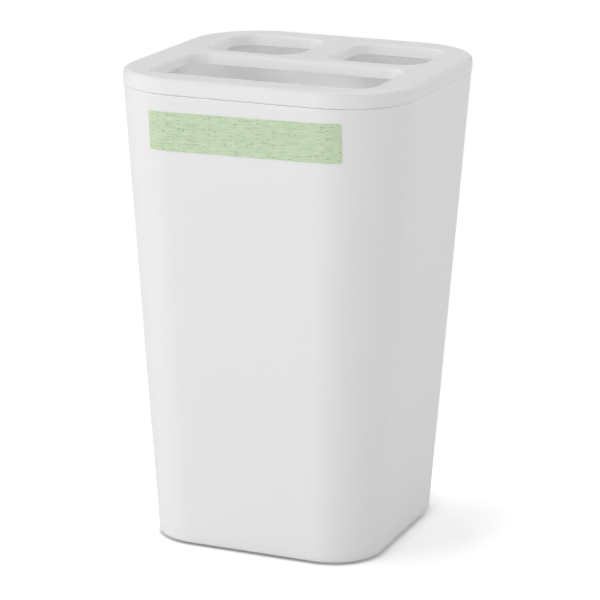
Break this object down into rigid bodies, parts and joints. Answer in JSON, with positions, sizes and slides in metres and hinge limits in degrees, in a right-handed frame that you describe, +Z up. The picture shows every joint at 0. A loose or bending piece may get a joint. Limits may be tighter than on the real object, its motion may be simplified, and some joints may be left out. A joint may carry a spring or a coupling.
{
  "type": "toothbrush holder",
  "caption": "Square tapered plastic cup with rounded corners, a lift-off slotted lid for brushes and a tube, a green paper label strip and soft foot pads.",
  "frame": {"origin": "middle of the base, on the surface that the holder stands on", "axes": "+Z up, -Y towards the front face with the label and the wide slot, +X to the right seen from the front"},
  "size_m": [0.0804, 0.0804, 0.128],
  "materials": {
    "white_plastic": "satin white moulded plastic",
    "label_paper": "pale green uncoated paper with fibre flecks",
    "foot_rubber": "soft translucent grey pad"
  },
  "bodies": {
    "cup_body": {"cup": "white_plastic", "label": "label_paper", "foot_front_left": "foot_rubber", "foot_front_right": "foot_rubber", "foot_rear_left": "foot_rubber", "foot_rear_right": "foot_rubber"},
    "lid_body": {"lid": "white_plastic"}
  },
  "joints": [
    {"name": "lid_lift", "type": "slide", "parent": "cup_body", "child": "lid_body", "axis": [0, 0, 1], "range_m": [0, 0.06]}
  ]
}
